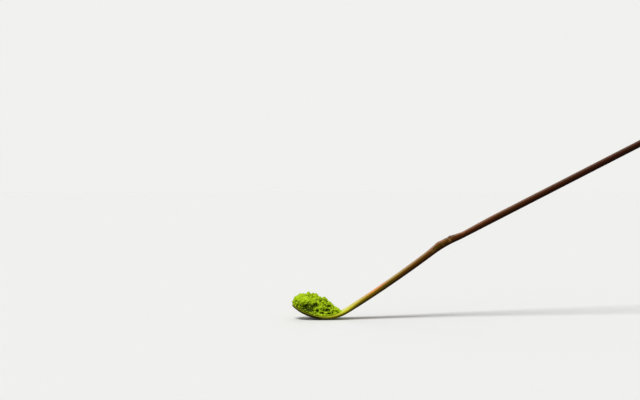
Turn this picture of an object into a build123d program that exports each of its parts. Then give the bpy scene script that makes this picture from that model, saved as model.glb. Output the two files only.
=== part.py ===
from build123d import *
import os
from math import cos, radians, sin

os.makedirs("parts", exist_ok=True)

# A bamboo tea scoop, held as it is in use: the bowl is level with its heap of powdered tea, and
# the handle rises to the right. All lengths are in millimetres.
# Lengths along the strip are measured on its underside, from the lowest point of the bend.
overall_length = 188.0
rest_length = 116.6

# Each stretch of the strip: its length, and how far it turns, in degrees.
lip_length = 6.8
lip_turn = 19.0
front_bend_length = 10.0
front_bend_turn = 27.0
back_bend_length = 11.0
back_bend_turn = 32.0
rise_length = 47.0
rise_turn = 4.8
waist_length = 11.8
waist_turn = -12.6
recover_length = 4.0
recover_turn = 3.0

# The bowl: a thin leaf, dished across its width, with a round tip.
bowl_width = 10.4
bowl_wall = 1.3
front_rim = 0.3
back_rim = 0.4
trough_depth = 0.42
belly_depth = 0.45
tip_depth = 4.8
neck_length = 14.0

# The shaft: flat back, crowned front, bevelled edges.
neck_width = 8.2
neck_thickness = 2.15
lower_thickness = 2.75
waist_width = 7.4
waist_thickness = 2.4
upper_width = 6.9
end_width = 5.6
thicken_length = 14.0
end_bevel = 0.6
upper_thickness = 2.8
neck_crown = 0.15
shaft_crown = 0.3
front_bevel = 0.9
back_bevel = 0.8

# The bamboo's node: a swelling with a rounded ridge, and past it the remains of the leaf sheath.
# Their places are measured from where the waist starts.
node_rise = 0.52
ridge_place = 4.4
ridge_length = 4.4
ridge_height = 0.3
ridge_swell = 0.2
scar_place = 10.2
scar_length = 2.6
scar_height = 0.3
scar_margin = 0.25
ring_root = 0.2

# The heap of tea, with lumps on it. Its height is above the lowest point of the bend, and
# mound_front and mound_back are how far it reaches from there.
mound_front = 14.4
mound_back = 6.8
mound_height = 11.4
mound_width = 9.4
clump_radius = 0.95
crumb_radius = 0.42
seat_gap = 0.2

# One overrun lets every cutting solid reach past what it cuts.
overrun = 4.0

tip_length = lip_length + front_bend_length
waist_start = back_bend_length + rise_length
upper_start = waist_start + waist_length + recover_length
end_distance = overall_length - tip_length


def run(stretches, distance):
    # Follow arcs and straights from the bend's lowest point, heading right and level.
    x, z, heading = 0.0, 0.0, 0.0
    left = distance
    for length, turn in stretches:
        part_length = min(left, length)
        angle = radians(turn) * part_length / length
        if turn:
            radius = length / radians(turn)
            x += radius * (sin(heading + angle) - sin(heading))
            z += radius * (cos(heading) - cos(heading + angle))
        else:
            x += part_length * cos(heading)
            z += part_length * sin(heading)
        heading += angle
        left -= part_length
    return x, z, heading


def route(distance):
    # The place and the slope of the underside at a distance along the strip.
    if distance < 0:
        x, z, heading = run([(front_bend_length, front_bend_turn), (lip_length, lip_turn)], -distance)
        return -x, z, -heading
    upper_length = end_distance - upper_start
    return run([(back_bend_length, back_bend_turn), (rise_length, rise_turn),
                (waist_length, waist_turn), (recover_length, recover_turn),
                (upper_length, 0.0)], distance)


# The origin is on the flat back of the handle, where it rests when the scoop is set down.
rest_x, rest_z, rest_heading = route(rest_length)


def cross_plane(distance):
    # A plane square to the strip: local X runs across it, and local Y out of its front.
    x, z, heading = route(distance)
    return Plane(origin=(x - rest_x, 0, z - rest_z), x_dir=(0, 1, 0),
                 z_dir=(cos(heading), 0, sin(heading)))


def strip_section(distance, width, thickness, crown, belly, bevels, below=0.0):
    # One cross-section. A negative crown dishes the front, and below carries the back past
    # its plane, where a later cut makes it flat.
    front_cut, back_cut = bevels
    half = width / 2
    front_half = half - front_cut
    back_half = half - back_cut - below
    front_edge = thickness - crown
    front = ThreePointArc((front_half, front_edge), (0, thickness), (-front_half, front_edge))
    left = Polyline((-front_half, front_edge), (-half, front_edge - front_cut),
                    (-half, belly + back_cut), (-back_half, belly - below))
    right = Polyline((back_half, belly - below), (half, belly + back_cut),
                     (half, front_edge - front_cut), (front_half, front_edge))
    if belly:
        back = ThreePointArc((-back_half, belly), (0, 0), (back_half, belly))
    else:
        back = Line((-back_half, -below), (back_half, -below))
    return cross_plane(distance) * make_face(front + left + back + right)


def between(start, end, share):
    return start + (end - start) * share


# Front and back bevels of the bowl's rim and of the shaft.
rim_bevels = (front_rim, back_rim)
shaft_bevels = (front_bevel, back_bevel)

# Stations of the bowl: the place, as a share of the tip's or the neck's length, then shares of
# the bowl's width, wall, trough and belly.
bowl_shares = [(-1.00, 0.92, 0.66, 0.50, 0.50), (-0.67, 1.00, 0.86, 0.90, 0.88),
               (-0.33, 1.00, 0.96, 1.00, 1.00), (0.00, 0.97, 1.06, 0.86, 0.88),
               (0.50, 0.88, 1.32, 0.30, 0.42)]


def bowl_place(share):
    return share * (tip_length if share < 0 else neck_length)


def neck_section():
    return strip_section(neck_length, neck_width, neck_thickness, neck_crown, 0, shaft_bevels)


def tip_outline():
    # A rounded end, drawn on the lip's own slope, that trims the bowl to a leaf's tip.
    x, z, heading = route(tip_depth - tip_length)
    slope = Plane(origin=(x - rest_x, 0, z - rest_z), x_dir=(cos(heading), 0, sin(heading)),
                  z_dir=(-sin(heading), 0, cos(heading)))
    half = bowl_width / 2
    back = tip_length + neck_length + overrun
    outline = ThreePointArc((0, -half), (-tip_depth, 0), (0, half))
    outline += Polyline((0, half), (overrun, half + overrun), (back, half + overrun),
                        (back, -half - overrun), (overrun, -half - overrun), (0, -half))
    return extrude(slope * make_face(outline), amount=tip_length + overrun, both=True)


def scoop_bowl():
    sections = [strip_section(bowl_place(place), bowl_width * wide, bowl_wall * wall,
                              -trough_depth * trough, belly_depth * belly, rim_bevels)
                for place, wide, wall, trough, belly in bowl_shares]
    return loft(sections + [neck_section()]) & tip_outline()


def lower_section(share):
    place = between(neck_length, waist_start, share)
    return strip_section(place, between(neck_width, waist_width, share),
                         between(neck_thickness, lower_thickness, share),
                         between(neck_crown, shaft_crown, share), 0, shaft_bevels)


def lower_shaft():
    lower_steps = 4
    return loft([lower_section(step / lower_steps) for step in range(lower_steps + 1)])


# The swelling is nearly level along the node's middle and falls off at its ends, as a fourth power.
rise_power = 4


def node_section(place):
    # The strip across the waist, without the rings, at a place along it.
    share = place / (upper_start - waist_start)
    rise = node_rise * (1 - between(-1, 1, share) ** rise_power)
    return (waist_start + place, between(waist_width, upper_width, share),
            between(lower_thickness, waist_thickness, share) + rise)


# Stations of a ring: the place as a share of its length from its crest, then the share of its
# height there. The ridge is even, and the sheath's remains stand steep on the bowl's side.
ridge_shares = [(-0.50, -0.5), (-0.20, 0.7), (0.00, 1.0), (0.20, 0.7), (0.50, -0.5)]
scar_shares = [(-0.20, -0.9), (-0.10, 0.6), (0.10, 1.0), (0.45, 0.45), (0.80, -0.4)]


def ring(stations, crest, length, height, margin, swell):
    # A band over the front and its bevels that rises out of the strip and sinks back into it.
    sections = []
    for along, rise in stations:
        place, width, thickness = node_section(crest + along * length)
        half = width / 2 - margin + swell * rise
        flat = half - front_bevel
        top = thickness + height * rise
        edge = top - shaft_crown
        side = edge - front_bevel
        foot = side - ring_root
        outline = ThreePointArc((flat, edge), (0, top), (-flat, edge))
        outline += Polyline((-flat, edge), (-half, side), (-half, foot), (half, foot), (half, side),
                            (flat, edge))
        sections.append(cross_plane(place) * make_face(outline))
    return loft(sections, ruled=True)


def bamboo_node():
    node_steps = 4
    run_length = upper_start - waist_start
    sections = []
    for step in range(node_steps + 1):
        place, width, thickness = node_section(run_length * step / node_steps)
        sections.append(strip_section(place, width, thickness, shaft_crown, 0, shaft_bevels))
    ridge = ring(ridge_shares, ridge_place, ridge_length, ridge_height, 0, ridge_swell)
    return loft(sections) + ridge


def sheath_scar(node):
    # What is left of the leaf sheath's foot: it lies on the front of the node and its bevels.
    return ring(scar_shares, scar_place, scar_length, scar_height, scar_margin, 0) - node


def upper_section(place, width, thickness):
    return strip_section(place, width, thickness, shaft_crown, 0, shaft_bevels, front_bevel)


def upper_shaft():
    # Straight, so that its back is one flat face to lean on. It thickens before it narrows.
    start = upper_section(upper_start, upper_width, waist_thickness)
    full = upper_section(upper_start + thicken_length, upper_width, upper_thickness)
    end = upper_section(end_distance, end_width, upper_thickness)
    shaft = loft([start, full], ruled=True) + loft([full, end], ruled=True)
    back = cross_plane(rest_length) * Box(upper_width + overrun, overrun, 2 * overall_length,
                                          align=(Align.CENTER, Align.MAX, Align.CENTER))
    shaft = shaft - back
    end_face = shaft.faces().sort_by(Axis.X)[-1]
    return chamfer(end_face.edges().filter_by(Axis.Y), end_bevel)


# Stations of the heap: the place as a share of its length, then shares of its width and height.
mound_shares = [(0.00, 0.36, 0.79), (0.12, 0.82, 0.96), (0.27, 0.98, 1.00), (0.42, 1.00, 0.98),
                (0.56, 0.98, 0.87), (0.70, 0.92, 0.74), (0.86, 0.76, 0.50), (1.00, 0.44, 0.34)]


# The crest's width and depth, as shares of the heap's full and half width there.
crest_width_share = 0.86
crest_depth_share = 0.62


def mound_section(place, wide, high):
    # An upright cut through the heap, with sides that lean in and a round top.
    x = between(-mound_front, mound_back, place) - rest_x
    half = mound_width / 2 * wide
    top = mound_height * high
    crest_half = half * crest_width_share
    shoulder = top - half * crest_depth_share
    plane = Plane(origin=(x, 0, -rest_z), x_dir=(0, 1, 0), z_dir=(1, 0, 0))
    crest = ThreePointArc((crest_half, shoulder), (0, top), (-crest_half, shoulder))
    sides = Polyline((-crest_half, shoulder), (-half, 0), (half, 0), (crest_half, shoulder))
    return plane * make_face(crest + sides)


def under_tea():
    # The space that the bowl takes up, with its front raised by the seat's gap.
    sections = []
    for place, wide, wall, trough, belly in bowl_shares:
        sections.append(raised_section(bowl_place(place), bowl_width * wide, bowl_wall * wall,
                                       -trough_depth * trough, front_rim))
    sections.append(raised_section(neck_length, neck_width, neck_thickness, neck_crown, front_bevel))
    return loft(sections)


def raised_section(distance, width, thickness, crown, bevel):
    # The front of a section lifted by the seat's gap, carried outwards and far down.
    flat = width / 2 - bevel
    far = width / 2 + overrun
    middle = thickness + seat_gap
    edge = middle - crown
    outline = ThreePointArc((flat, edge), (0, middle), (-flat, edge))
    outline += Polyline((-flat, edge), (-far, edge), (-far, -mound_height), (far, -mound_height),
                        (far, edge), (flat, edge))
    return cross_plane(distance) * make_face(outline)


def tea_mound():
    return loft([mound_section(*shares) for shares in mound_shares]) - under_tea()


# Lumps lie on the heap in a spread that never lines up: every second one is a small crumb.
# They keep a clump's radius away from both ends of the heap.
lump_count = 36
golden_share = 0.618034
lump_spread_share = 0.8
lump_lift_share = 0.05
lump_size_shares = [1.0, 0.82, 0.94, 0.76, 0.9]


def tea_lumps(mound, radius, first):
    # Balls that stand on the heap's surface, cut where the heap begins.
    lumps = []
    for index in range(first, lump_count, 2):
        along = (index + 0.5) / lump_count
        across = (index * golden_share) % 1 - 0.5
        x = between(clump_radius - mound_front, mound_back - clump_radius, along) - rest_x
        y = mound_width * lump_spread_share * across
        hits = mound.find_intersection_points(Axis((x, y, -rest_z), (0, 0, 1)))
        if hits:
            top = max(point.Z for point, normal in hits)
            ball = radius * lump_size_shares[index % len(lump_size_shares)]
            lumps.append(Pos(x, y, top + ball * lump_lift_share) * Sphere(ball) - mound)
    return Compound([lump.solid() for lump in lumps])


parts = {"scoop_bowl": scoop_bowl(), "lower_shaft": lower_shaft(), "bamboo_node": bamboo_node(),
         "upper_shaft": upper_shaft(), "tea_mound": tea_mound()}
parts["sheath_scar"] = sheath_scar(parts["bamboo_node"])
parts["tea_clumps"] = tea_lumps(parts["tea_mound"], clump_radius, 0)
parts["tea_crumbs"] = tea_lumps(parts["tea_mound"], crumb_radius, 1)

for name, shape in parts.items():
    export_step(shape, f"parts/{name}.step")
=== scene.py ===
import random
from math import cos, pi, radians, sin, sqrt

import bmesh
import bpy
from mathutils import Matrix, Vector, noise
from mathutils.bvhtree import BVHTree


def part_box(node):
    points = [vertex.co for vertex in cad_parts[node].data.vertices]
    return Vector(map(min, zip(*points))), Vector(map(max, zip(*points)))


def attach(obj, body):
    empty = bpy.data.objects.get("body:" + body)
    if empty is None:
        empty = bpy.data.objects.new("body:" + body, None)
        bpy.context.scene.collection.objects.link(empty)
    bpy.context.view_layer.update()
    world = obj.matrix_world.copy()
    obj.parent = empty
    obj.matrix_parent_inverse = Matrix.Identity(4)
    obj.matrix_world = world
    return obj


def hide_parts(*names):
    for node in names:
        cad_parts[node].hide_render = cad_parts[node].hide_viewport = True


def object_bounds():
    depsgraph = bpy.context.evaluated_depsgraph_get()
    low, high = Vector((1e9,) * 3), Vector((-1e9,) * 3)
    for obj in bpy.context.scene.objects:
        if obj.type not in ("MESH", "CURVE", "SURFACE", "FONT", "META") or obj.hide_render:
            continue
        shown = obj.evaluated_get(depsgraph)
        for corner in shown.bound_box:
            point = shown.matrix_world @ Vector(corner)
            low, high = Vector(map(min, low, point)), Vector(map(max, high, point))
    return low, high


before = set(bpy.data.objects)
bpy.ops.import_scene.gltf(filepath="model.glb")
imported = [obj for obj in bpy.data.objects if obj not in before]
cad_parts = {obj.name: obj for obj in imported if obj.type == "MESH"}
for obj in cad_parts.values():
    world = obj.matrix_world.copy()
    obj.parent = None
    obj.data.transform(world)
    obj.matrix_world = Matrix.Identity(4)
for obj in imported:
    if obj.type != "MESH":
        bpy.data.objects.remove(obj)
cad_low, cad_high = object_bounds()

# The camera: a long lens half a metre in front of the scoop, a few centimetres higher than its
# bowl, tilted down a degree and a half.
camera = bpy.data.objects.new("camera", bpy.data.cameras.new("camera"))
camera.location = (-0.10328, -0.5059, 0.01089)
camera.rotation_euler = (radians(90 - 1.54), 0, 0)
camera.data.lens = 62.78
camera.data.sensor_width = 36
bpy.context.scene.collection.objects.link(camera)
bpy.context.scene.camera = camera

# The bamboo strip: the scoop itself, one split length of smoked bamboo, bent over steam and then
# carved. The skin side is its front, the back is planed flat, and the knife leaves small facets
# on its edges. It is drawn in millimetres, by the distance from the lowest point of the bend.
millimetre = 0.001
lip_stretches = [(10.0, 27.0), (6.8, 19.0)]
shaft_stretches = [(11.0, 32.0), (47.0, 4.8), (11.8, -12.6), (4.0, 3.0), (97.4, 0.0)]
rest_distance = 116.6
tip_distance = -16.8
end_distance = 171.2
tip_depth = 4.8
tip_radius = 5.217
end_bevel = 0.6

# Distance, width, thickness, front crown, back belly, front bevel, back bevel.
strip_sizes = [
    (-16.8, 9.6, 0.86, -0.21, 0.22, 0.30, 0.40),
    (-11.3, 10.4, 1.12, -0.38, 0.40, 0.30, 0.40),
    (-5.5, 10.4, 1.25, -0.42, 0.45, 0.30, 0.40),
    (0.0, 10.1, 1.38, -0.36, 0.40, 0.32, 0.40),
    (7.0, 9.15, 1.72, -0.13, 0.19, 0.55, 0.50),
    (14.0, 8.2, 2.15, 0.15, 0.0, 0.90, 0.75),
    (58.0, 7.4, 2.75, 0.30, 0.0, 1.05, 0.80),
    (73.8, 6.9, 2.40, 0.30, 0.0, 0.95, 0.80),
    (87.8, 6.9, 2.80, 0.30, 0.0, 1.05, 0.80),
    (171.2, 5.6, 2.80, 0.30, 0.0, 0.95, 0.80)]

# How far the node stands out of the front: a swelling with a ridge that ends short, a slight
# groove where a branch lay, and the shelf that the leaf sheath's foot stood on.
node_relief = [(56.0, 0.0), (58.1, 0.10), (59.7, 0.26), (61.0, 0.47), (62.0, 0.70), (62.7, 0.80),
               (63.2, 0.76), (63.7, 0.60), (64.5, 0.57), (66.1, 0.54), (67.2, 0.50), (69.2, 0.48),
               (70.7, 0.40), (72.2, 0.26), (73.8, 0.08), (75.2, 0.0)]
relief_from, relief_to = 55, 77


def between_rows(rows, distance):
    """The values of a table at a distance, straight from row to row."""
    if distance <= rows[0][0]:
        return rows[0][1:]
    for low, high in zip(rows, rows[1:]):
        if distance <= high[0]:
            share = (distance - low[0]) / (high[0] - low[0])
            return [a + (b - a) * share for a, b in zip(low[1:], high[1:])]
    return rows[-1][1:]


def smooth_rows(rows, distance, reach):
    """The same, with the corners of the table rounded over a reach on both sides."""
    spread = [between_rows(rows, distance + reach * share) for share in (-1, -0.5, 0, 0.5, 1)]
    return [sum(values) / len(values) for values in zip(*spread)]


def follow(stretches, distance):
    """The place and slope on the underside after a distance along arcs and straights."""
    x = z = heading = 0.0
    for length, turn in stretches:
        step = min(distance, length)
        angle = radians(turn) * step / length
        chord = 2 * step / angle * sin(angle / 2) if angle else step
        x += chord * cos(heading + angle / 2)
        z += chord * sin(heading + angle / 2)
        heading += angle
        distance -= step
    return x, z, heading


def strip_slope(distance):
    """The same for the whole strip: the lip runs backwards from the bend's lowest point."""
    if distance >= 0:
        return follow(shaft_stretches, distance)
    x, z, heading = follow(lip_stretches, -distance)
    return -x, z, -heading


rest_x, rest_z = strip_slope(rest_distance)[:2]


def on_strip(distance, across, out):
    """A point in the frame, in millimetres, from its place along, across and out of the strip."""
    x, z, heading = strip_slope(distance)
    return Vector((x - rest_x - out * sin(heading), across, z - rest_z + out * cos(heading)))


def relief_at(distance, across):
    """The node's relief, whose lines wander a little across the strip."""
    wander = 0.35 * noise.noise(Vector((across * 0.45, 3.1, 0.0))) + 0.02 * across * across
    return smooth_rows(node_relief, distance + wander, 0.16)[0]


def half_outline(distance):
    """Half of the strip's cross-section, from the middle of its back round to its front."""
    width, thickness, crown, belly, front_cut, back_cut = smooth_rows(strip_sizes, distance, 1.8)
    half = width / 2
    low, high = 0.0, thickness
    from_tip = distance - tip_distance
    if from_tip < tip_depth:
        half = min(half, sqrt(max(0.0, tip_radius ** 2 - (from_tip - tip_radius) ** 2)))
        rounding = sqrt(1 - (1 - min(1.0, (from_tip + 0.02) / 0.35)) ** 2)
        low, high = thickness * (1 - rounding) / 2, thickness * (1 + rounding) / 2
        share = half / (width / 2)
        crown, belly = crown * share ** 2, belly * share ** 2
    from_end = end_distance - distance
    if from_end < end_bevel:
        low, high = end_bevel - from_end, thickness - end_bevel + from_end
        half -= (end_bevel - from_end) * 0.35
    front_cut = min(front_cut, half * 0.45, (high - low - crown - belly) * 0.45)
    back_cut = min(back_cut, half * 0.45, (high - low - crown - belly) * 0.45)
    edge, foot = high - crown, low + belly
    back_half, front_half = half - back_cut, half - front_cut
    points = [(back_half * share, foot - belly * (1 - share ** 2))
              for share in (0, 0.2, 0.4, 0.6, 0.8, 0.93)]
    points += [(back_half + back_cut * share, foot + back_cut * share) for share in (0.04, 0.5, 0.96)]
    points += [(half, foot + back_cut + (edge - front_cut - foot - back_cut) * share)
               for share in (0.04, 0.28, 0.52, 0.76, 0.97)]
    points += [(front_half + front_cut * cos(turn), edge - front_cut + front_cut * sin(turn))
               for turn in (radians(14), radians(30), radians(46), radians(62), radians(78))]
    points += [(front_half * share, edge + crown * (1 - share ** 2))
               for share in (0.985, 0.92, 0.8, 0.66, 0.52, 0.39, 0.26, 0.13, 0)]
    return points


outline_count = len(half_outline(0.0)) - 1
side_start, bevel_start, front_start = 9, 14, 19

# Rings of points lie close at the tip and the node, and further apart along the shaft. Each row
# after the tip's has its first ring's place, the gap between rings and their count.
tip_ring_count = 16
ring_rows = [(-12.0, 0.7, 97), (55.9, 0.13, 139), (73.97, 0.93, 104),
             (end_distance - end_bevel, 0.15, 5)]
ring_places = [tip_distance + tip_depth * (1 - cos(pi / 2 * step / tip_ring_count))
               for step in range(tip_ring_count)]
ring_places += [start + gap * step for start, gap, count in ring_rows for step in range(count)]

# How uneven the node's relief is, how deep the knife's facets and its chatter marks are, and how
# far from the tip they reach their full depth.
node_unevenness = 0.28
facet_depth, chatter_depth = 0.045, 0.012
facets_full_at = 20


def strip_vertex(distance, index, side):
    """One point of the strip's surface, with the node's relief and the knife's facets."""
    across, out = half_outline(distance)[index]
    if relief_from < distance < relief_to:
        rise = relief_at(distance, across * side)
        share = min(1.0, max(0.0, (index - side_start) / (bevel_start - side_start)))
        rough = noise.noise(Vector((distance * 0.9, across * side * 0.7, 6.0)))
        out += rise * share * (1 + node_unevenness * rough)
        if index < front_start:
            across += max(0.0, rise - 0.5) * 0.7 * share
    facet = noise.noise(Vector((distance * 0.11, index * 0.23 * side, 5.0)))
    chatter = noise.noise(Vector((distance * 0.5, index * 0.5 * side, 9.0)))
    uneven = facet_depth * facet + chatter_depth * chatter
    uneven *= min(1.0, (distance - tip_distance) / facets_full_at)
    if index < front_start:
        across += uneven
    else:
        out += uneven * 0.6
    return on_strip(distance, across * side, out)


# Half the strip's girth, for the map that its fibres follow, and how near to each other points
# are joined, both in metres.
half_girth = 0.0105
merge_reach = 0.000004
strip = bmesh.new()
bmesh.ops.create_grid(strip, x_segments=len(ring_places) - 1, y_segments=2 * outline_count, size=1)
strip_uv = strip.loops.layers.uv.new("Strip")
strip_round = strip.verts.layers.float.new("round")
for vert in strip.verts:
    ring = round((vert.co.x + 1) / 2 * (len(ring_places) - 1))
    turn = round((vert.co.y + 1) / 2 * 2 * outline_count)
    side = 1 if turn <= outline_count else -1
    index = min(turn, 2 * outline_count - turn)
    place = ring_places[ring]
    vert[strip_round] = index / outline_count
    for loop in vert.link_loops:
        loop[strip_uv].uv = ((place - tip_distance) * millimetre, turn / outline_count * half_girth)
    vert.co = strip_vertex(place, index, side) * millimetre
bmesh.ops.remove_doubles(strip, verts=strip.verts, dist=merge_reach)
bmesh.ops.holes_fill(strip, edges=[edge for edge in strip.edges if edge.is_boundary], sides=0)
bmesh.ops.recalc_face_normals(strip, faces=strip.faces)


def finish_mesh(name, shape, body, material):
    """A piece from a bmesh: smooth, with its material, riding on its body."""
    mesh = bpy.data.meshes.new(name)
    shape.to_mesh(mesh)
    shape.free()
    mesh.polygons.foreach_set("use_smooth", [True] * len(mesh.polygons))
    mesh.materials.append(material)
    piece = bpy.data.objects.new(name, mesh)
    bpy.context.scene.collection.objects.link(piece)
    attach(piece, body)
    return piece


def linear(hex_colour):
    """A colour written as sRGB hex, as the linear values that Blender works in."""
    channels = [int(hex_colour[place:place + 2], 16) / 255 for place in (1, 3, 5)]
    return (*[c / 12.92 if c <= 0.04045 else ((c + 0.055) / 1.055) ** 2.4 for c in channels], 1)


def add(tree, kind, inputs=None, stops=None, **settings):
    """Adds a shader node with its settings, its sockets' values or links, and a ramp's stops."""
    made = tree.nodes.new(kind)
    for name, value in settings.items():
        setattr(made, name, value)
    for name, value in (inputs or {}).items():
        if isinstance(value, bpy.types.NodeSocket):
            tree.links.new(value, made.inputs[name])
        else:
            made.inputs[name].default_value = value
    for place, (at, colour) in enumerate(stops or []):
        ramp = made.color_ramp.elements
        stop = ramp[place] if place < 2 else ramp.new(at)
        stop.position = at
        stop.color = colour if isinstance(colour, tuple) else linear(colour)
    return made


def maths(tree, operation, *values):
    """The result of one sum on two or three values."""
    return add(tree, "ShaderNodeMath", dict(enumerate(values)), operation=operation).outputs[0]


def ranged(tree, value, low, high, to_low=0.0, to_high=1.0):
    """A value mapped from one range to another, and kept inside it."""
    return add(tree, "ShaderNodeMapRange", {"Value": value, "From Min": low, "From Max": high,
                                            "To Min": to_low, "To Max": to_high}).outputs[0]


def ramp(tree, factor, stops):
    """The colour that a ramp's stops give a factor. Its first and last stop come first."""
    return add(tree, "ShaderNodeValToRGB", {"Fac": factor}, stops=stops).outputs[0]


def grey(value):
    """A ramp's stop that is a plain value."""
    return (value, value, value, 1)


def mixed(tree, share, first, second, blend="MIX"):
    """Two colours mixed by a share, or the first multiplied by the second."""
    return add(tree, "ShaderNodeMix", {0: share, 6: first, 7: second}, data_type="RGBA",
               blend_type=blend).outputs[2]


def noise_over(tree, place, stretch, detail):
    """Noise over a place that is stretched by three factors."""
    stretched = add(tree, "ShaderNodeVectorMath", {0: place, 1: stretch}, operation="MULTIPLY")
    return add(tree, "ShaderNodeTexNoise", {"Vector": stretched.outputs[0], "Scale": 1.0,
                                            "Detail": detail}).outputs["Fac"]


def seen_directly(tree):
    """1 where the camera, a reflection or a view through glass sees a thing, 0 for other light."""
    rays = add(tree, "ShaderNodeLightPath").outputs
    seen = maths(tree, "ADD", rays["Is Camera Ray"], rays["Is Glossy Ray"])
    return add(tree, "ShaderNodeMath", {0: seen, 1: rays["Is Transmission Ray"]}, operation="ADD",
               use_clamp=True).outputs[0]


# Smoked bamboo: hard, straight-grained, golden where it was least smoked and brown further up.
# The skin is a little smoother than the cut sides, which are darker, partly in their own tone and
# partly by painted shade. Fibres run along it, each about 0.2 mm wide, with short dark dashes of sap
# channels.
smoked_bamboo = bpy.data.materials.new("smoked_bamboo")
smoked_bamboo.use_nodes = True
tree = smoked_bamboo.node_tree
surface = tree.nodes["Principled BSDF"]
strip_map = add(tree, "ShaderNodeUVMap", uv_map="Strip").outputs["UV"]
around = add(tree, "ShaderNodeAttribute", attribute_name="round").outputs["Fac"]
patch = noise_over(tree, strip_map, (150, 420, 0), 3.0)
fibre = noise_over(tree, strip_map, (140, 4600, 0), 4.0)
dash = noise_over(tree, strip_map, (360, 5200, 0), 2.0)
strip_length = (end_distance - tip_distance) * millimetre
along_map = add(tree, "ShaderNodeSeparateXYZ", {0: strip_map}).outputs["X"]
along_share = maths(tree, "MULTIPLY", along_map, 1 / strip_length)
wander = maths(tree, "MULTIPLY_ADD", patch, 0.05, along_share)
shifted = maths(tree, "SUBTRACT", wander, 0.025)
# The skin's tone along the strip, golden to brown; its bright yellow-green stops at the bend and the
# neck above the bowl are a painted highlight.
skin = ramp(tree, shifted, [
    (0.0, "#7c8020"), (1.0, "#4e2e18"), (0.05, "#8e9426"), (0.085, "#c0ca34"), (0.145, "#dce23c"),
    (0.175, "#d8cc38"), (0.205, "#d2ae2c"), (0.226, "#ea9422"), (0.246, "#de821e"),
    (0.266, "#b4882a"), (0.29, "#b0922a"), (0.33, "#a67c28"), (0.37, "#946a26"), (0.412, "#8e5e26"),
    (0.426, "#945e24"), (0.432, "#6a541a"), (0.449, "#705620"), (0.455, "#865426"),
    (0.475, "#865628"), (0.50, "#824e22"), (0.62, "#704220"), (0.73, "#60381a"), (0.85, "#5a3214")])
# The cut sides' tone along the strip, darker than the skin partly by painted shade; its darkest
# stops, over the lip between the tip and the bend, are painted shade.
cut_tone_and_shade = ramp(tree, shifted, [
    (0.0, "#8a9220"), (1.0, "#341402"), (0.026, "#5c620e"), (0.05, "#2c2c04"), (0.072, "#3c3e08"),
    (0.10, "#a2a824"), (0.145, "#9ea222"), (0.18, "#746408"), (0.225, "#72580a"), (0.29, "#523c04"),
    (0.33, "#543402"), (0.38, "#503002"), (0.41, "#5a3e0a"), (0.43, "#503604"), (0.449, "#543608"),
    (0.46, "#4a2604"), (0.50, "#421e02"), (0.63, "#3c1c02"), (0.85, "#341402")])
on_bowl = ranged(tree, along_share, 0.15, 0.21, 0.11, 0.0)
turned = maths(tree, "ADD", around, on_bowl)
on_front = ranged(tree, turned, 0.56, 0.76)
on_face = ranged(tree, around, 0.76, 0.98)
dulled = add(tree, "ShaderNodeHueSaturation", {"Saturation": 0.84, "Value": 0.9, "Color": skin})
front_skin = mixed(tree, on_face, skin, dulled.outputs[0])
both = mixed(tree, on_front, cut_tone_and_shade, front_skin)
# Round the strip: the flat back is lighter, its own tone, and the back bevel and lower side are
# darker by painted shade, where they face down.
back_tone_and_edge_shade = ramp(tree, around, [
    (0.0, (1.8, 1.7, 1.6, 1)), (1.0, grey(1)), (0.2, (1.5, 1.4, 1.3, 1)),
    (0.26, (0.28, 0.27, 0.2, 1)), (0.36, (0.34, 0.31, 0.22, 1)), (0.42, (0.6, 0.56, 0.42, 1)),
    (0.52, grey(1))])
body_colour = mixed(tree, 1.0, both, back_tone_and_edge_shade, "MULTIPLY")
streak = ramp(tree, fibre, [(0.30, (0.62, 0.58, 0.50, 1)), (0.70, (1.22, 1.2, 1.15, 1))])
streaked = mixed(tree, 0.75, body_colour, streak, "MULTIPLY")
mottle = ramp(tree, patch, [(0.35, (1.12, 0.96, 0.80, 1)), (0.65, (0.88, 1.0, 0.92, 1))])
mottled = mixed(tree, 0.8, streaked, mottle, "MULTIPLY")

# The node is more blotched than the shaft, and thin pale lines cross it where its ridge begins
# and ends and where the sheath's ledge begins.
node_patch = noise_over(tree, strip_map, (680, 720, 0), 2.0)
node_tone = ramp(tree, node_patch, [
    (0.36, (0.34, 0.29, 0.26, 1)), (0.64, (1.9, 1.3, 0.7, 1)), (0.5, grey(1))])
on_node = ramp(tree, along_share, [
    (0.385, grey(0)), (1.0, grey(0)), (0.40, grey(0.9)), (0.46, grey(0.9)), (0.50, grey(0.25))])
on_sides = ranged(tree, around, 0.70, 0.80, 1.0, 0.35)
blotched = maths(tree, "MULTIPLY", on_node, on_sides)
knotty = mixed(tree, blotched, mottled, node_tone, "MULTIPLY")
dash_mark = ranged(tree, dash, 0.66, 0.72, 0.0, 0.6)
dashed = mixed(tree, dash_mark, knotty, linear("#1f0d05"))
fine = maths(tree, "MULTIPLY_ADD", fibre, 0.004, along_share)
ring_lines = ramp(tree, fine, [
    (0.398, grey(0)), (1.0, grey(0)), (0.402, grey(0.35)), (0.4045, grey(0)),
    (0.4285, grey(0)), (0.4305, grey(0.35)), (0.433, grey(0)),
    (0.4475, grey(0)), (0.4495, grey(0.6)), (0.4515, grey(0))])
above = ranged(tree, around, 0.33, 0.45)
line = maths(tree, "MULTIPLY", ring_lines, above)
ringed = mixed(tree, line, dashed, linear("#946e3e"))
tree.links.new(ringed, surface.inputs["Base Color"])
gloss = ranged(tree, around, 0.5, 0.68, 0.62, 0.38)
rough = maths(tree, "MULTIPLY_ADD", fibre, 0.16, gloss)
tree.links.new(rough, surface.inputs["Roughness"])
grain = add(tree, "ShaderNodeBump", {"Height": fibre, "Strength": 0.6, "Distance": 0.00006})
tree.links.new(grain.outputs[0], surface.inputs["Normal"])
surface.inputs["Specular IOR Level"].default_value = 0.05

bamboo_strip = finish_mesh("bamboo_strip", strip, "scoop", smoked_bamboo)
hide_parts("scoop_bowl", "lower_shaft", "bamboo_node", "upper_shaft")

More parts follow.
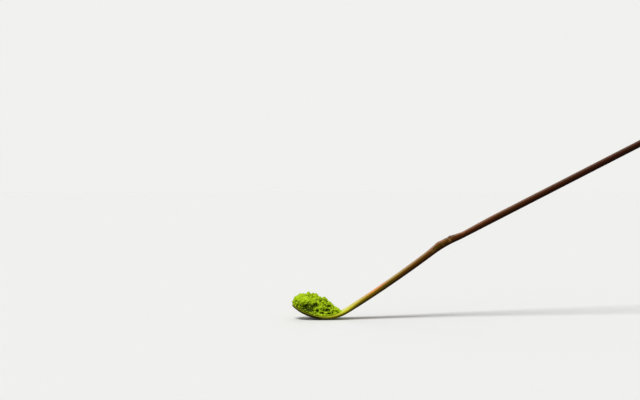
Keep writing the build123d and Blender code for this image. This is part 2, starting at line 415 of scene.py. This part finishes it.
# The remains of the leaf sheath: a thin dry ledge across the node, torn off along its lower edge
# and worn down to nothing on the handle's side. Short stiff fibres stand at the tear.
ledge_start, ledge_end, ledge_half = 67.75, 71.3, 2.85
ledge_height, ledge_sink, ledge_wall = 0.28, 0.07, 0.25
tear_depth, tear_bow = 0.28, 0.03
fibre_count, fibre_root = 46, 2.52
ledge = bmesh.new()
bmesh.ops.create_grid(ledge, x_segments=34, y_segments=64, size=1)
ledge_uv = ledge.loops.layers.uv.new("Strip")
for vert in ledge.verts:
    share = (vert.co.x + 1) / 2
    across = vert.co.y * ledge_half
    ragged = tear_depth * noise.noise(Vector((across * 2.6, 0.0, 2.0)))
    ragged += 0.1 * noise.noise(Vector((across * 9.0, 0.0, 4.0)))
    wear = 0.5 * noise.noise(Vector((across * 1.3, 8.0, 2.0)))
    start = ledge_start + ragged + tear_bow * across * across
    place = start + (ledge_end + wear - start) * share
    height = min(1.0, share / 0.05) * (1 - share) ** 1.3
    height *= ledge_height + 0.05 * noise.noise(Vector((across * 3.0, place * 0.8, 1.0)))
    edge_fall = min(1.0, (1 - abs(vert.co.y)) / 0.10)
    outline = half_outline(place)
    front = outline[-1][1] - 0.30 * (across / outline[front_start][0]) ** 2
    lift = relief_at(place, across)
    for loop in vert.link_loops:
        loop[ledge_uv].uv = ((place - tip_distance) * millimetre, across * millimetre)
    out = front + lift - ledge_sink + (height + ledge_sink) * edge_fall
    vert.co = on_strip(place, across, out) * millimetre
under = bmesh.ops.extrude_face_region(ledge, geom=list(ledge.faces))
down = on_strip(ledge_start, 0, -ledge_wall) - on_strip(ledge_start, 0, 0)
bmesh.ops.translate(ledge, vec=down * millimetre,
                    verts=[part for part in under["geom"] if isinstance(part, bmesh.types.BMVert)])
dice = random.Random(11)
for strand in range(fibre_count):
    across = dice.uniform(-0.92, 0.92) * ledge_half
    place = ledge_start + 0.1 + tear_bow * across * across
    length = dice.uniform(0.5, 1.5)
    made = bmesh.ops.create_cone(ledge, cap_ends=True, segments=6, radius1=dice.uniform(0.05, 0.1),
                                 radius2=0.015, depth=length)
    root = on_strip(place, across, fibre_root + relief_at(place, across))
    slope = strip_slope(place)[2]
    lay = (Matrix.Translation(root) @ Matrix.Rotation(pi / 2 - slope, 4, "Y")
           @ Matrix.Rotation(dice.uniform(-0.28, 0.28), 4, "X")
           @ Matrix.Rotation(dice.uniform(-0.30, 0.05), 4, "Y"))
    bmesh.ops.transform(ledge, matrix=Matrix.Scale(millimetre, 4) @ lay, verts=made["verts"])
bmesh.ops.recalc_face_normals(ledge, faces=ledge.faces)

# Dry leaf sheath: straw-brown papery fibre, dull, in paler and darker threads.
dry_sheath = bpy.data.materials.new("dry_sheath")
dry_sheath.use_nodes = True
tree = dry_sheath.node_tree
surface = tree.nodes["Principled BSDF"]
sheath_place = add(tree, "ShaderNodeTexCoord").outputs["Object"]
threads = add(tree, "ShaderNodeMapping", {"Vector": sheath_place, "Rotation": (0, radians(27), 0),
                                          "Scale": (300, 4200, 1500)})
thread = add(tree, "ShaderNodeTexNoise", {"Vector": threads.outputs[0], "Scale": 1.0, "Detail": 3.0})
straw = ramp(tree, thread.outputs["Fac"], [(0.30, "#3a2210"), (0.74, "#8c6238"), (0.5, "#623e1e")])
tree.links.new(straw, surface.inputs["Base Color"])
relief = add(tree, "ShaderNodeBump", {"Height": thread.outputs["Fac"], "Strength": 0.8,
                                      "Distance": 0.00008})
tree.links.new(relief.outputs[0], surface.inputs["Normal"])
surface.inputs["Roughness"].default_value = 0.62
surface.inputs["Specular IOR Level"].default_value = 0.3

sheath_ledge = finish_mesh("sheath_ledge", ledge, "scoop", dry_sheath)
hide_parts("sheath_scar")

# The tea: leaf ground to a very fine, bright green powder that clings together in soft lumps. The
# heap starts as the mound that fills the bowl, gets lumps pressed into it, and is worked over
# into one broken surface.
heap = bmesh.new()
heap.from_mesh(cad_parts["tea_mound"].data)
mound_merge_reach = 0.000002
bmesh.ops.remove_doubles(heap, verts=heap.verts, dist=mound_merge_reach)
mound_tree = BVHTree.FromBMesh(heap)
low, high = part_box("tea_mound")
core_height = low.z + 0.0035
dice = random.Random(4)


def spot_on(tree_of_faces, spread_low=-0.35):
    """A place and its normal where a ray from inside the heap meets its surface, at random."""
    while True:
        start = Vector((dice.uniform(low.x + 0.002, high.x - 0.003), 0, core_height))
        turn = dice.uniform(0, 2 * pi)
        rise = dice.uniform(spread_low, 1.0)
        level = sqrt(1 - rise * rise)
        hit = tree_of_faces.ray_cast(start, Vector((level * cos(turn), level * sin(turn), rise)))
        if hit[0] is not None:
            return hit[0], hit[1]


def add_lump(shape, at, radius, rounds, rough, seed):
    """A lump of powder: a ball, flattened and pitted by noise."""
    ball = bmesh.ops.create_icosphere(shape, subdivisions=rounds, radius=radius)["verts"]
    squeeze = Vector((dice.uniform(0.8, 1.15), dice.uniform(0.8, 1.15), dice.uniform(0.75, 1.0)))
    for vert in ball:
        dent = 1 + rough * noise.fractal(vert.co / radius * 1.4 + Vector((seed, 0, 0)), 1.0, 2.1, 3)
        vert.co = Vector(a * b for a, b in zip(vert.co, squeeze)) * dent + at


# The lumps whose places matter, in millimetres from the bend's lowest point. Those along the
# crest have how far along they lie, how high, and their radius. Those at the heap's thin ends,
# first at the neck and then at the lip, have how far across they lie too.
bend_low = Vector((-rest_x, 0, -rest_z)) * millimetre
crest_lumps = [(-14.3, 6.8, 0.6), (-13.4, 7.5, 0.8), (-12.6, 8.5, 0.95), (-11.9, 9.6, 1.1),
               (-11.0, 10.6, 1.3), (-9.6, 10.7, 1.3), (-7.2, 11.2, 1.3), (-5.4, 10.9, 1.1),
               (-4.5, 10.9, 1.1), (-2.7, 9.6, 1.0), (-0.6, 9.2, 1.0), (0.3, 8.7, 1.0),
               (1.5, 7.5, 1.0), (2.7, 6.1, 1.0), (4.2, 5.0, 1.1), (5.4, 4.4, 1.0)]
end_lumps = [(6.7, -1.5, 3.3, 0.7), (6.9, 0.3, 3.5, 0.8), (6.6, 1.9, 3.3, 0.7),
             (7.5, -0.6, 3.4, 0.55), (7.4, 1.1, 3.4, 0.5), (8.1, 0.2, 3.6, 0.4),
             (-14.2, 1.0, 7.5, 0.62), (-14.25, -0.9, 7.5, 0.64), (-14.3, 0.1, 7.6, 0.6)]
crest_rows, crest_fall = (-1.4, 0.4, 1.9), 0.09
for lump, (along, across, up, radius) in enumerate(end_lumps):
    at = bend_low + Vector((along, across, up)) * millimetre
    add_lump(heap, at, radius * millimetre, 3, 0.2, lump * 7.3)
for lump, (along, up, radius) in enumerate(crest_lumps):
    for across in crest_rows:
        moved = along + dice.uniform(-0.3, 0.3)
        at = bend_low + Vector((moved, across, up - crest_fall * across ** 2)) * millimetre
        size = radius * dice.uniform(0.85, 1.05) * millimetre
        add_lump(heap, at, size, 3, 0.16, lump * 5.1 + across)

# Lumps all over the mound, apart from the top of its end at the lip: there the crest's own lumps
# end the heap, and a lump at random would hang out over the tip.
lump_count = 150
bare_along, bare_up = -13.4, 8.2
for lump in range(lump_count):
    at, normal = spot_on(mound_tree)
    radius = dice.uniform(0.00035, 0.00085) if lump % 3 else dice.uniform(0.0008, 0.0012)
    from_bend = (at - bend_low) / millimetre
    if from_bend.x > bare_along or from_bend.z < bare_up:
        add_lump(heap, at - normal * radius * 0.3, radius, 3, 0.2, lump * 3.7)

# The lumps and the mound are knitted into one skin, whose cells are 0.14 mm wide.
knit_cell = 0.00014
rough_mesh = bpy.data.meshes.new("heap_start")
heap.to_mesh(rough_mesh)
heap.free()
rough_heap = bpy.data.objects.new("heap_start", rough_mesh)
bpy.context.scene.collection.objects.link(rough_heap)
knit = rough_heap.modifiers.new("knit", "REMESH")
knit.mode = "VOXEL"
knit.voxel_size = knit_cell
bpy.context.view_layer.update()
evaluated = bpy.context.evaluated_depsgraph_get()
knitted = bpy.data.meshes.new_from_object(rough_heap.evaluated_get(evaluated))
bpy.data.objects.remove(rough_heap)

heap = bmesh.new()
heap.from_mesh(knitted)
heap.normal_update()
# How deep each point lies in the hollows between the lumps and in the pockets where the side slid
# away, for painted shade in the colour.
hollow_shade = heap.verts.layers.float.new("hollow_shade")
# How far the small lumps, pebbles and grit stand out, and how deep the pits go, in metres.
lump_relief, pebble_relief, grit_relief, pit_depth = 0.00036, 0.00018, 0.00007, 0.0005
# Where the side slid away: place from the bend's lowest point, reach along, across and up, depth.
slides = [((-8.0, -4.6, 5.3), (6.2, 3.4, 3.1), 2.0), ((-10.6, -4.2, 6.0), (3.2, 3.0, 2.0), 1.2),
          ((-4.3, -4.6, 6.7), (2.6, 3.0, 1.6), 1.7), ((-7.9, -4.2, 4.5), (1.3, 3.4, 1.3), 1.4),
          ((0.5, -4.4, 4.5), (3.0, 3.2, 1.2), 1.7), ((2.0, -4.0, 6.1), (1.8, 3.2, 1.0), 1.5),
          ((-3.6, -4.4, 4.2), (1.6, 3.2, 1.2), 1.4), ((-1.5, -4.4, 3.2), (1.6, 3.2, 0.8), 1.0),
          ((3.7, -3.6, 4.0), (0.9, 2.8, 0.6), 1.1), ((5.3, -3.0, 3.8), (0.8, 2.6, 0.6), 0.9),
          ((-0.6, -4.3, 7.0), (0.9, 2.8, 0.7), 1.2), ((1.9, -4.0, 2.9), (1.0, 2.8, 0.6), 1.1),
          ((-2.2, -4.3, 8.3), (0.8, 2.8, 0.6), 1.0), ((3.0, -3.4, 5.2), (0.7, 2.6, 0.5), 0.9),
          ((-6.0, 4.2, 7.4), (3.4, 3.0, 2.0), 1.4), ((1.0, 4.2, 5.4), (2.4, 3.0, 1.2), 1.0)]
for vert in heap.verts:
    slid = 0.0
    for centre, reach, deep in slides:
        away = (vert.co - bend_low) / millimetre - Vector(centre)
        near = max(0.0, 1 - Vector((away.x / reach[0], away.y / reach[1], away.z / reach[2])).length)
        slid = max(slid, deep * near * near * (3 - 2 * near))
    large = noise.voronoi(vert.co * 620)[0]
    small = noise.voronoi(vert.co * 1350 + Vector((3, 1, 7)))[0]
    pit = max(0.0, 1 - noise.voronoi(vert.co * 480 + Vector((8, 2, 5)))[0][0] / 0.26)
    dome = min(1.0, (large[1] - large[0]) * 3.2)
    pebble = min(1.0, (small[1] - small[0]) * 2.6)
    grit = noise.fractal(vert.co * 2400, 0.9, 2.2, 3)
    loose = min(1.0, max(0.25, 0.5 + noise.noise(vert.co * 260) * 1.6))
    vert.co += vert.normal * (lump_relief * loose * (dome - 0.8) + pebble_relief * (pebble - 0.8)
                              + grit_relief * grit - pit_depth * pit)
    vert.co.y -= slid * millimetre * (1 if vert.co.y > 0 else -1)
    # Painted shade for the colour: more of it in the hollows between lumps, in the pits and in the
    # slid pockets under the overhang.
    vert[hollow_shade] = 0.34 * loose * (1 - dome) + 0.16 * (1 - pebble) + 0.55 * pit + 0.42 * slid
heap.normal_update()
heap_tree = BVHTree.FromBMesh(heap)
# The same heap smoothed: a point that lies below it is in a hollow and gets more painted shade.
smoothing_rounds = 8
hollow_depth = 0.0008
soft = {vert.index: vert.co.copy() for vert in heap.verts}
for repeat in range(smoothing_rounds):
    soft = {vert.index: sum((soft[edge.other_vert(vert).index] for edge in vert.link_edges),
                            Vector()) / max(1, len(vert.link_edges)) for vert in heap.verts}
for vert in heap.verts:
    vert[hollow_shade] += 0.2 + (soft[vert.index] - vert.co).dot(vert.normal) / hollow_depth

# Finely ground green tea: matt, soft and saturated, in lighter and darker patches, brighter where
# lumps catch the lamps' light, and darkened by painted shade in the hollows between the lumps and in
# the pockets where the side slid away. Grains of 0.1 to 0.3 mm show as specks.
ground_tea = bpy.data.materials.new("ground_tea")
ground_tea.use_nodes = True
tree = ground_tea.node_tree
surface = tree.nodes["Principled BSDF"]
tea_place = add(tree, "ShaderNodeTexCoord").outputs["Object"]
clods = add(tree, "ShaderNodeTexNoise", {"Vector": tea_place, "Scale": 900.0, "Detail": 3.0})
specks = add(tree, "ShaderNodeTexNoise", {"Vector": tea_place, "Scale": 4200.0, "Detail": 3.0})
depth = add(tree, "ShaderNodeAttribute", attribute_name="hollow_shade").outputs["Fac"]
green = ramp(tree, clods.outputs["Fac"], [(0.30, "#a6c60a"), (0.72, "#d4f040"), (0.5, "#bcde14")])
# Painted shade: the green turns dark green in the hollows and pockets.
deep = ranged(tree, depth, 0.28, 0.80, 0.0, 0.96)
shaded = mixed(tree, deep, green, linear("#2a3a04"))
speck = ramp(tree, specks.outputs["Fac"], [
    (0.34, (0.72, 0.74, 0.5, 1)), (0.68, (1.18, 1.15, 1.2, 1))])
speckled = mixed(tree, 0.8, shaded, speck, "MULTIPLY")
tree.links.new(speckled, surface.inputs["Base Color"])
pits = add(tree, "ShaderNodeBump", {"Height": specks.outputs["Fac"], "Strength": 0.7,
                                    "Distance": 0.00015})
tree.links.new(pits.outputs[0], surface.inputs["Normal"])
surface.inputs["Roughness"].default_value = 0.9
surface.inputs["Specular IOR Level"].default_value = 0.12

tea_heap = finish_mesh("tea_heap", heap, "tea", ground_tea)
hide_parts("tea_mound", "tea_clumps")

# Loose crumbs of tea, up to half a millimetre, that have rolled to rest all over the heap.
crumb_count = 420
crumbs = bmesh.new()
for crumb in range(crumb_count):
    at, normal = spot_on(heap_tree)
    radius = dice.uniform(0.00011, 0.00024) if crumb % 4 else dice.uniform(0.00024, 0.00042)
    add_lump(crumbs, at + normal * radius * 0.35, radius, 2, 0.3, crumb * 1.9)
tea_crumbs = finish_mesh("tea_crumbs_dressed", crumbs, "tea", ground_tea)
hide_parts("tea_crumbs")

# The floor: a wide pale board that the bowl rests on. It isn't part of the scoop. It is darker for
# the light that it throws back than for the eye, so that it lights the strip's underside less.
floor_radius = 3
floor_mesh = bmesh.new()
bmesh.ops.create_circle(floor_mesh, cap_ends=True, segments=96, radius=floor_radius)
bmesh.ops.translate(floor_mesh, vec=(0, 0, cad_low.z), verts=floor_mesh.verts)
floor_data = bpy.data.meshes.new("floor")
floor_mesh.to_mesh(floor_data)
floor_mesh.free()
pale_floor = bpy.data.materials.new("pale_floor")
pale_floor.use_nodes = True
tree = pale_floor.node_tree
surface = tree.nodes["Principled BSDF"]
pale = mixed(tree, seen_directly(tree), linear("#8a8a8a"), linear("#f0f0ee"))
tree.links.new(pale, surface.inputs["Base Color"])
surface.inputs["Roughness"].default_value = 1.0
surface.inputs["Specular IOR Level"].default_value = 0.0
floor_data.materials.append(pale_floor)
floor = bpy.data.objects.new("floor", floor_data)
bpy.context.scene.collection.objects.link(floor)

# Light: one broad even light from above, two faint ones from the camera's side and from behind,
# so that neither long side is lost in the dark, and a pale surround. Each lamp has how it is
# turned and how wide it looks, in degrees, and its strength.
for name, slant, angle, strength in [
        ("overhead", (24, -16, 0), 24, 2.15), ("front", (66, -24, 0), 50, 0.62),
        ("behind", (-64, 16, 0), 60, 0.5)]:
    lamp = bpy.data.objects.new(name, bpy.data.lights.new(name, "SUN"))
    lamp.data.angle = radians(angle)
    lamp.data.energy = strength
    lamp.rotation_euler = [radians(turn) for turn in slant]
    bpy.context.scene.collection.objects.link(lamp)

surround = bpy.data.worlds.new("surround")
surround.use_nodes = True
bpy.context.scene.world = surround
tree = surround.node_tree
tree.nodes.clear()
soft_light = add(tree, "ShaderNodeBackground", {"Color": linear("#ffffff"), "Strength": 0.26})
backdrop = add(tree, "ShaderNodeBackground", {"Color": linear("#f1f1ef"), "Strength": 1.0})
choice = add(tree, "ShaderNodeMixShader", {0: seen_directly(tree), 1: soft_light.outputs[0],
                                           2: backdrop.outputs[0]})
add(tree, "ShaderNodeOutputWorld", {"Surface": choice.outputs[0]})
bpy.context.scene.view_settings.view_transform = "Standard"
